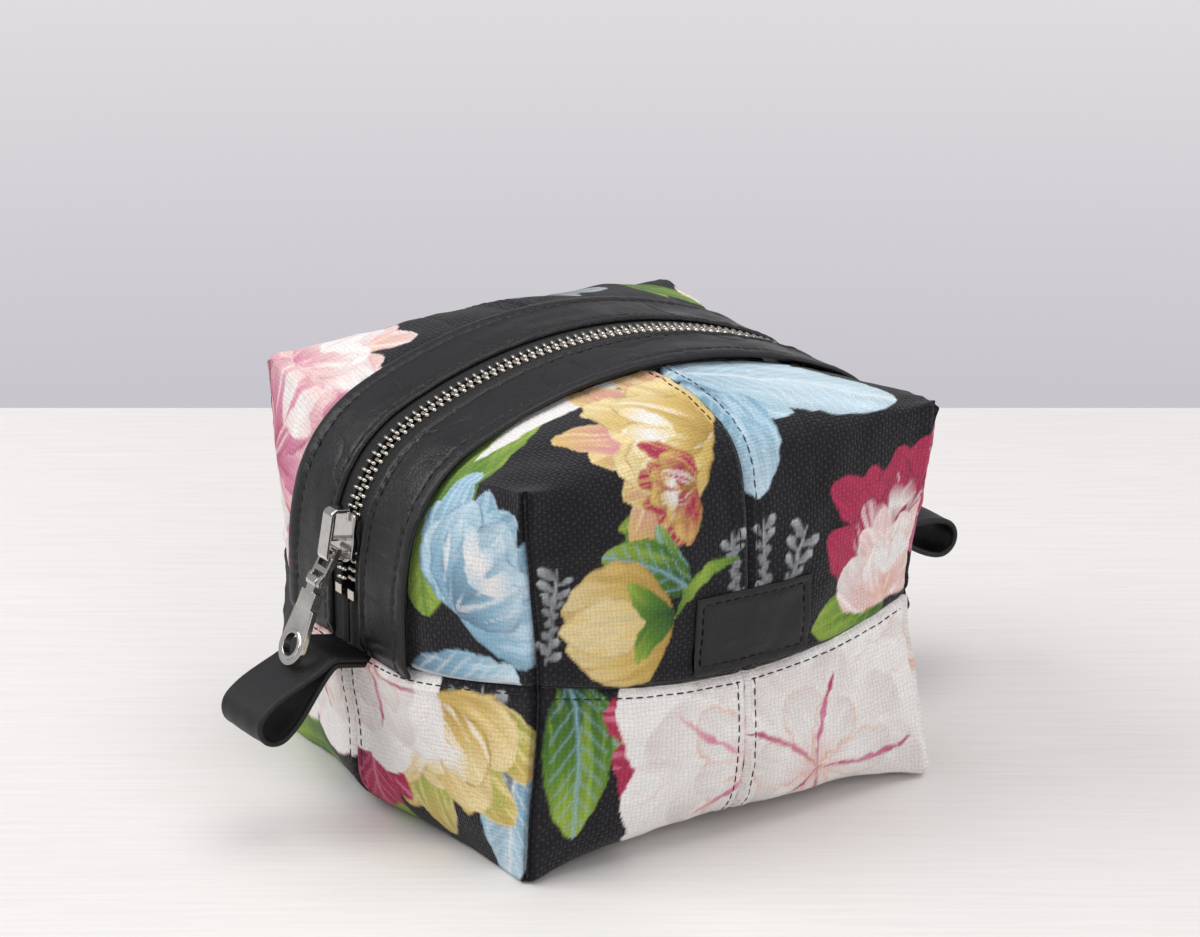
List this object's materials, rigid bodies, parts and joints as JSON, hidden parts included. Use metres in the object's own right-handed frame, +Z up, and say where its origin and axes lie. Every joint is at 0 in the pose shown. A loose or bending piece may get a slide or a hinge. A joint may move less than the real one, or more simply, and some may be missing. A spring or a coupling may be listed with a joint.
{
  "type": "makeup bag",
  "caption": "Boxed floral-canvas makeup bag with an arched metal zip between black leather strips, a stepped ring puller, leather end loops and a blank leather label.",
  "frame": {"origin": "on the table, under the middle of the base, where the base mount lies", "axes": "+X along the zip from its slider end to its far end, +Y from the label side to the back, +Z up"},
  "size_m": [0.2216, 0.1393, 0.1175],
  "materials": {
    "printed_canvas": "heavy plain-weave cotton canvas with a floral print on a black ground",
    "lining_cotton": "plain black cotton",
    "zip_tape": "black woven tape",
    "black_leather": "soft fine-grained black leather, slight sheen",
    "nickel_teeth": "champagne-tinted nickel",
    "polished_nickel": "polished nickel"
  },
  "bodies": {
    "bag": {"canvas_upper_front_left": "printed_canvas", "canvas_base_front_left": "printed_canvas", "canvas_upper_front_right": "printed_canvas", "canvas_base_front_right": "printed_canvas", "lining_front": "lining_cotton", "canvas_upper_back_left": "printed_canvas", "canvas_base_back_left": "printed_canvas", "canvas_upper_back_right": "printed_canvas", "canvas_base_back_right": "printed_canvas", "lining_back": "lining_cotton", "label_patch": "black_leather", "bottom_stop": "nickel_teeth"},
    "mouth_front": {"leather_strip_front": "black_leather", "zip_tape_front": "zip_tape", "zip_teeth_front": "nickel_teeth", "top_stop_front": "nickel_teeth"},
    "mouth_back": {"leather_strip_back": "black_leather", "zip_tape_back": "zip_tape", "zip_teeth_back": "nickel_teeth", "top_stop_back": "nickel_teeth"},
    "slider": {"slider_body": "polished_nickel", "slider_cap": "polished_nickel", "slider_lock_spring": "polished_nickel"},
    "link": {"pull_link": "polished_nickel", "pull_pin": "polished_nickel"},
    "puller": {"puller": "polished_nickel"},
    "loop_left": {"pull_loop_left": "black_leather"},
    "loop_right": {"pull_loop_right": "black_leather"}
  },
  "joints": [
    {"name": "slider_travel", "type": "hinge", "parent": "bag", "child": "slider", "pos_m": [0, 0, 0.06292], "axis": [0, 1, 0], "range_deg": [0, 169.5]},
    {"name": "mouth_front_open", "type": "hinge", "parent": "bag", "child": "mouth_front", "pos_m": [0, -0.043, 0.047], "axis": [1, 0, 0], "range_deg": [0, 24], "deforming": ["zip_tape_front", "zip_teeth_front"]},
    {"name": "mouth_back_open", "type": "hinge", "parent": "bag", "child": "mouth_back", "pos_m": [0, 0.043, 0.047], "axis": [-1, 0, 0], "range_deg": [0, 24], "deforming": ["zip_tape_back", "zip_teeth_back"]},
    {"name": "link_swing", "type": "hinge", "parent": "slider", "child": "link", "pos_m": [-0.08034, 0, 0.07395], "axis": [0, 1, 0], "range_deg": [0, 90]},
    {"name": "puller_swing", "type": "hinge", "parent": "link", "child": "puller", "pos_m": [-0.08538, 0, 0.0659], "axis": [0, 1, 0], "range_deg": [0, 28]},
    {"name": "left_loop_flex", "type": "hinge", "parent": "bag", "child": "loop_left", "pos_m": [-0.077, 0, 0.0452], "axis": [0, 1, 0], "range_deg": [-45, 0]},
    {"name": "right_loop_flex", "type": "hinge", "parent": "bag", "child": "loop_right", "pos_m": [0.077, 0, 0.0452], "axis": [0, -1, 0], "range_deg": [-45, 0]}
  ],
  "couplings": [
    {"joint": "mouth_front_open", "follows": "slider_travel", "ratio": 0.14159},
    {"joint": "mouth_back_open", "follows": "slider_travel", "ratio": 0.14159}
  ]
}
